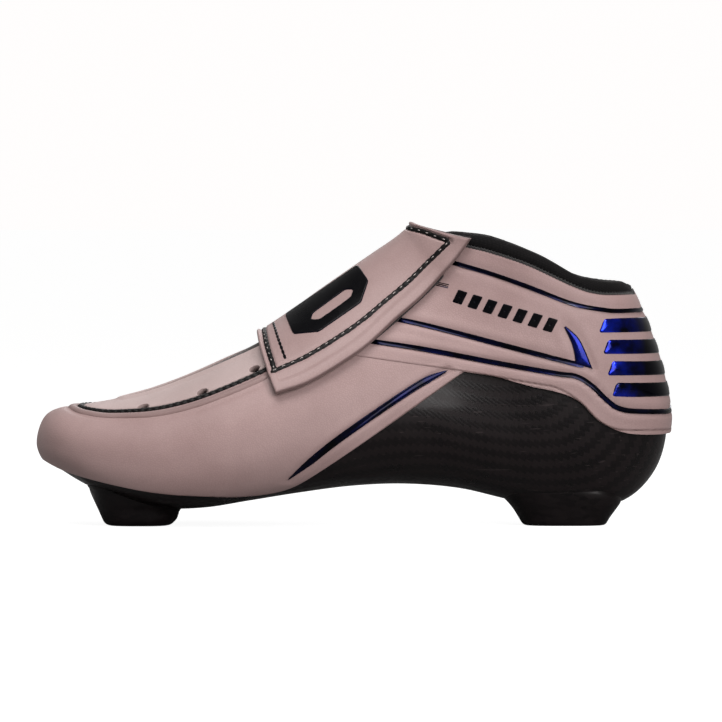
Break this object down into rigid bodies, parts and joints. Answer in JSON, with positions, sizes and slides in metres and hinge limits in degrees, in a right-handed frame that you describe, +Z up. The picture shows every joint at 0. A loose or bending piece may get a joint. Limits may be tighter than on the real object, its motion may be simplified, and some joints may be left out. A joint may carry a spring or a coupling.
{
  "type": "inline speed-skating boot",
  "caption": "Low-cut left boot of an inline speed skate: moulded shell with frame mounting pads, padded collar, apron with lace holes, and a cover flap that opens to the inner side.",
  "frame": {"origin": "on the ground under the middle of the boot's bounding box", "axes": "+X along the boot towards the heel, +Y towards the inner side of the foot, +Z up"},
  "size_m": [0.2896, 0.0996, 0.1356],
  "materials": {
    "upper_leather": "satin",
    "carbon_shell": "gloss",
    "lining_fabric": "matte",
    "seam_trim": "satin",
    "blue_foil": "metallic gloss",
    "stripe_foil": "gloss",
    "gloss_print": "gloss",
    "hook_and_loop": "matte",
    "insert_steel": "satin",
    "footbed_fabric": "matte"
  },
  "bodies": {
    "boot": {"carbon_shell": "carbon_shell", "front_mount_block": "carbon_shell", "heel_mount_block": "carbon_shell", "front_insert": "insert_steel", "heel_insert": "insert_steel", "liner": "lining_fabric", "footbed": "footbed_fabric", "collar_padding": "lining_fabric", "vamp": "upper_leather", "ankle_wrap": "upper_leather", "apron": "upper_leather", "apron_bead": "upper_leather", "apron_seam": "seam_trim", "tongue_base": "lining_fabric", "loop_patch": "hook_and_loop", "flap_anchor": "upper_leather", "collar_stripe": "stripe_foil", "lower_stripe": "stripe_foil", "mid_stripe_lateral": "stripe_foil", "mid_stripe_medial": "stripe_foil", "vamp_stripe_lateral": "stripe_foil", "vamp_stripe_medial": "stripe_foil", "heel_bar_1": "blue_foil", "heel_bar_2": "blue_foil", "heel_bar_3": "blue_foil", "heel_bar_4": "blue_foil", "side_tick_1": "gloss_print", "side_tick_2": "gloss_print", "side_tick_3": "gloss_print", "side_tick_4": "gloss_print", "side_tick_5": "gloss_print", "side_tick_6": "gloss_print", "side_tick_7": "gloss_print"},
    "flap": {"flap_cover": "upper_leather", "flap_lining": "lining_fabric", "hook_patch": "hook_and_loop", "flap_seam": "seam_trim", "flap_accent_line": "gloss_print", "flap_emblem": "gloss_print"},
    "tongue": {"tongue_pad": "lining_fabric"}
  },
  "joints": [
    {"name": "flap_open", "type": "hinge", "parent": "boot", "child": "flap", "pos_m": [-0.0415, 0.032, 0.08], "axis": [-0.9579, -0.0524, -0.2823], "range_deg": [0, 115]},
    {"name": "tongue_lift", "type": "hinge", "parent": "boot", "child": "tongue", "pos_m": [-0.0258, 0, 0.0958], "axis": [0, -1, 0], "range_deg": [0, 25]}
  ],
  "couplings": [
    {"joint": "tongue_lift", "follows": "flap_open", "ratio": 0.2}
  ]
}
